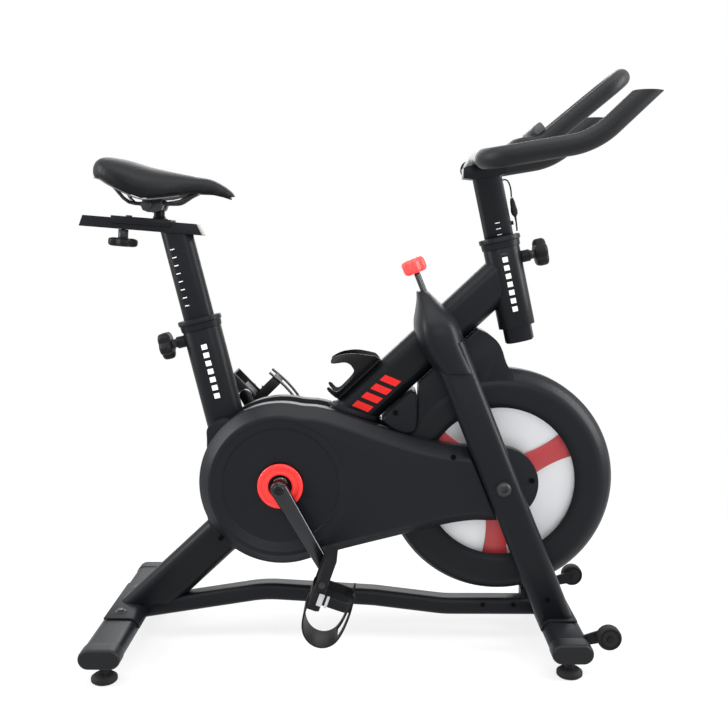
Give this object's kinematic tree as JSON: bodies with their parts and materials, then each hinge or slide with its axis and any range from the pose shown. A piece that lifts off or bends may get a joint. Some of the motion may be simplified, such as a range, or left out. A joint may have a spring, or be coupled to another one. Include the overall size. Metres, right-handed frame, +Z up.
{
  "type": "indoor spin bike",
  "caption": "Belt-driven indoor exercise bike: shrouded flywheel, sliding saddle, swept handlebar with inner loop, toe-cage pedals, brake knob and floor beams on levelling feet.",
  "frame": {"origin": "on the floor, below the middle of the bike's outer box, between the levelling feet", "axes": "+X forward to the handlebar tips, +Y to the rider's left, +Z up"},
  "size_m": [1.0332, 0.48, 1.0944],
  "materials": {
    "frame_paint": "satin black powder coat",
    "cover_plastic": "fine-textured black moulding",
    "soft_plastic": "matt black moulding",
    "grip_foam": "closed-cell foam, satin",
    "black_rubber": "matt",
    "red_plastic": "smooth red moulding",
    "wheel_casting": "machined and clear-coated light grey",
    "spoke_paint": "satin red",
    "bare_steel": "plated",
    "saddle_skin": "smooth black synthetic leather over foam",
    "ledge_plastic": "light grey moulding"
  },
  "bodies": {
    "frame": {"rear_stabilizer": "frame_paint", "rear_saddle_plate": "frame_paint", "front_saddle_plate": "frame_paint", "bottom_rail": "frame_paint", "head_tube": "frame_paint", "seat_tube": "frame_paint", "main_beam": "frame_paint", "seat_sleeve": "cover_plastic", "head_sleeve": "cover_plastic", "fork_leg_right": "frame_paint", "fork_leg_left": "frame_paint", "fork_cover_right": "cover_plastic", "fork_cover_left": "cover_plastic", "wheel_guard_right": "cover_plastic", "wheel_guard_left": "cover_plastic", "front_stabilizer": "frame_paint", "drive_cover_right": "cover_plastic", "drive_cover_left": "cover_plastic", "crank_ring_right": "red_plastic", "crank_ring_left": "red_plastic", "sensor_cover": "cover_plastic", "bottle_cage": "soft_plastic", "beam_collar": "cover_plastic", "bottom_bracket": "bare_steel", "flywheel_axle": "bare_steel", "drive_belt": "black_rubber"},
    "crank": {"crank_spindle": "bare_steel", "crank_arm_right": "bare_steel", "crank_arm_left": "bare_steel"},
    "right_pedal": {"pedal_right": "soft_plastic", "toe_cage_right": "soft_plastic"},
    "left_pedal": {"pedal_left": "soft_plastic", "toe_cage_left": "soft_plastic"},
    "wheel": {"flywheel": "wheel_casting", "flywheel_spider": "spoke_paint"},
    "seat_mast": {"seat_post": "frame_paint"},
    "carriage": {"seat_carriage": "frame_paint"},
    "saddle": {"saddle_clamp": "bare_steel", "saddle_rails": "bare_steel", "saddle_base": "cover_plastic", "saddle_cushion": "saddle_skin"},
    "seat_pin": {"seat_knob": "soft_plastic"},
    "bar_pin": {"bar_knob": "soft_plastic"},
    "slider_screw": {"slider_knob": "soft_plastic"},
    "handlebar": {"bar_post": "frame_paint", "outer_bar": "frame_paint", "grip_right": "grip_foam", "grip_left": "grip_foam", "inner_loop": "grip_foam", "display_ledge": "ledge_plastic", "sensor_cable": "black_rubber", "cable_connector": "black_rubber"},
    "brake": {"brake_rod": "bare_steel"},
    "brake_dial": {"brake_knob": "red_plastic"},
    "rear_right_foot": {"rear_foot_right": "black_rubber"},
    "rear_left_foot": {"rear_foot_left": "black_rubber"},
    "front_right_foot": {"front_foot_right": "black_rubber"},
    "front_left_foot": {"front_foot_left": "black_rubber"},
    "right_roller": {"transport_wheel_right": "black_rubber"},
    "left_roller": {"transport_wheel_left": "black_rubber"}
  },
  "joints": [
    {"name": "flywheel_spin", "type": "hinge", "parent": "frame", "child": "wheel", "pos_m": [0.278, 0, 0.324], "axis": [0, 1, 0], "continuous": true},
    {"name": "crank_spin", "type": "hinge", "parent": "frame", "child": "crank", "pos_m": [-0.14, 0, 0.324], "axis": [0, 1, 0], "continuous": true},
    {"name": "pedal_right_spin", "type": "hinge", "parent": "crank", "child": "right_pedal", "pos_m": [-0.05603, -0.154, 0.17619], "axis": [0, 1, 0], "continuous": true},
    {"name": "pedal_left_spin", "type": "hinge", "parent": "crank", "child": "left_pedal", "pos_m": [-0.22397, 0.154, 0.47181], "axis": [0, 1, 0], "continuous": true},
    {"name": "seat_height", "type": "slide", "parent": "frame", "child": "seat_mast", "axis": [-0.2334, 0, 0.9724], "range_m": [-0.11, 0.06]},
    {"name": "seat_slide", "type": "slide", "parent": "seat_mast", "child": "carriage", "axis": [0.9968, 0, -0.0802], "range_m": [-0.045, 0.035]},
    {"name": "slider_turn", "type": "hinge", "parent": "carriage", "child": "slider_screw", "pos_m": [-0.43667, 0, 0.81418], "axis": [0.0802, 0, 0.9968], "range_deg": [-180, 180]},
    {"name": "saddle_tilt", "type": "hinge", "parent": "carriage", "child": "saddle", "pos_m": [-0.383, 0, 0.848], "axis": [0, 1, 0], "range_deg": [-12, 12]},
    {"name": "seat_pin_pull", "type": "slide", "parent": "frame", "child": "seat_pin", "axis": [-0.9724, 0, -0.2334], "range_m": [0, 0.008], "stiffness_N_per_m": 600, "springref_m": -0.004},
    {"name": "bar_height", "type": "slide", "parent": "frame", "child": "handlebar", "axis": [-0.2147, 0, 0.9767], "range_m": [-0.014, 0.1], "deforming": ["sensor_cable", "cable_connector"]},
    {"name": "bar_pin_pull", "type": "slide", "parent": "frame", "child": "bar_pin", "axis": [0.9767, 0, 0.2147], "range_m": [0, 0.008], "stiffness_N_per_m": 600, "springref_m": -0.004},
    {"name": "brake_push", "type": "slide", "parent": "frame", "child": "brake", "axis": [0.3746, 0, -0.9272], "range_m": [0, 0.009], "stiffness_N_per_m": 1500, "springref_m": -0.004},
    {"name": "brake_turn", "type": "hinge", "parent": "brake", "child": "brake_dial", "pos_m": [0.11729, 0, 0.72176], "axis": [-0.3746, 0, 0.9272], "range_deg": [-180, 180]},
    {"name": "rear_right_foot_turn", "type": "hinge", "parent": "frame", "child": "rear_right_foot", "pos_m": [-0.44598, -0.203, 0.02], "axis": [0, 0, 1], "range_deg": [-180, 180]},
    {"name": "rear_left_foot_turn", "type": "hinge", "parent": "frame", "child": "rear_left_foot", "pos_m": [-0.44598, 0.203, 0.02], "axis": [0, 0, 1], "range_deg": [-180, 180]},
    {"name": "front_right_foot_turn", "type": "hinge", "parent": "frame", "child": "front_right_foot", "pos_m": [0.391, -0.174, 0.02], "axis": [0, 0, 1], "range_deg": [-180, 180]},
    {"name": "front_left_foot_turn", "type": "hinge", "parent": "frame", "child": "front_left_foot", "pos_m": [0.391, 0.174, 0.02], "axis": [0, 0, 1], "range_deg": [-180, 180]},
    {"name": "right_roller_spin", "type": "hinge", "parent": "frame", "child": "right_roller", "pos_m": [0.462, -0.168, 0.07], "axis": [0, 1, 0], "continuous": true},
    {"name": "left_roller_spin", "type": "hinge", "parent": "frame", "child": "left_roller", "pos_m": [0.462, 0.168, 0.07], "axis": [0, 1, 0], "continuous": true}
  ],
  "couplings": [
    {"joint": "crank_spin", "follows": "flywheel_spin", "ratio": 0.26531}
  ]
}
